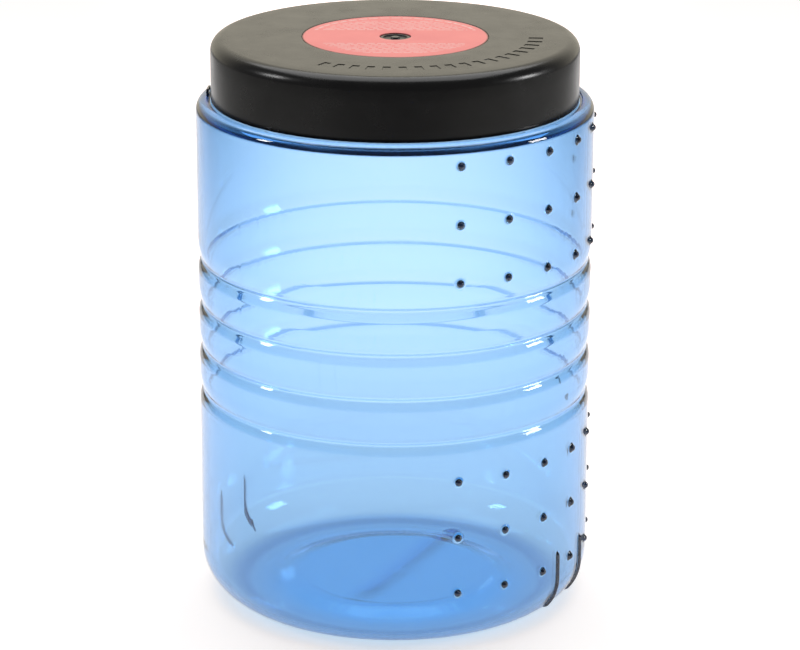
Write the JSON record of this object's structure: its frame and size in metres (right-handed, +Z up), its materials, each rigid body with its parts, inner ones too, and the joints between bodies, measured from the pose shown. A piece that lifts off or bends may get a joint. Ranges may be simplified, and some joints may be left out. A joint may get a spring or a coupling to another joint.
{
  "type": "bear canister",
  "caption": "Clear blue screw-top food canister with ring grooves, strap bumps, grip ribs and a black overcap lid with snap tabs.",
  "frame": {"origin": "centre of the base, on the plane that the canister stands on", "axes": "+Z up along the canister's axis; -Y is the front, with the strap bumps on the +X side"},
  "size_m": [0.2228, 0.221, 0.3226],
  "materials": {
    "clear_shell": "clear, glossy, tinted light blue",
    "moulded_bumps": "glossy, the shell's own plastic, dark where it is thick and curved",
    "lid_black": "satin, finely textured on top",
    "label": "printed film with a soft sheen"
  },
  "bodies": {
    "canister": {"housing_base": "clear_shell", "housing_wall": "clear_shell", "housing_shoulder": "clear_shell", "housing_neck": "clear_shell", "neck_thread": "clear_shell", "rim_stops": "clear_shell", "strap_bumps_upper": "moulded_bumps", "strap_bumps_lower": "moulded_bumps", "grip_ribs_front": "moulded_bumps", "grip_ribs_rear": "moulded_bumps", "base_weld": "clear_shell"},
    "lid_lift": {"lid_hub": "lid_black"},
    "lid_turning": {"lid": "lid_black", "lid_thread": "lid_black", "lid_label": "label"},
    "tab_left": {"snap_tab_left": "lid_black"},
    "tab_rear": {"snap_tab_rear": "lid_black"}
  },
  "joints": [
    {"name": "lid_rise", "type": "slide", "parent": "canister", "child": "lid_lift", "axis": [0, 0, 1], "range_m": [0, 0.039]},
    {"name": "lid_turn", "type": "hinge", "parent": "lid_lift", "child": "lid_turning", "pos_m": [0, 0, 0.3206], "axis": [0, 0, 1], "range_deg": [0, 1080]},
    {"name": "tab_left_press", "type": "hinge", "parent": "lid_turning", "child": "tab_left", "pos_m": [-0.09952, 0.01399, 0.3056], "axis": [-0.1392, -0.9903, 0], "range_deg": [0, 2.5], "stiffness_Nm_per_rad": 2.2},
    {"name": "tab_rear_press", "type": "hinge", "parent": "lid_turning", "child": "tab_rear", "pos_m": [0.06187, 0.0792, 0.3056], "axis": [-0.788, 0.6157, 0], "range_deg": [0, 2.5], "stiffness_Nm_per_rad": 2.2}
  ],
  "couplings": [
    {"joint": "lid_rise", "follows": "lid_turn", "m_per_rad": 0.002069}
  ]
}
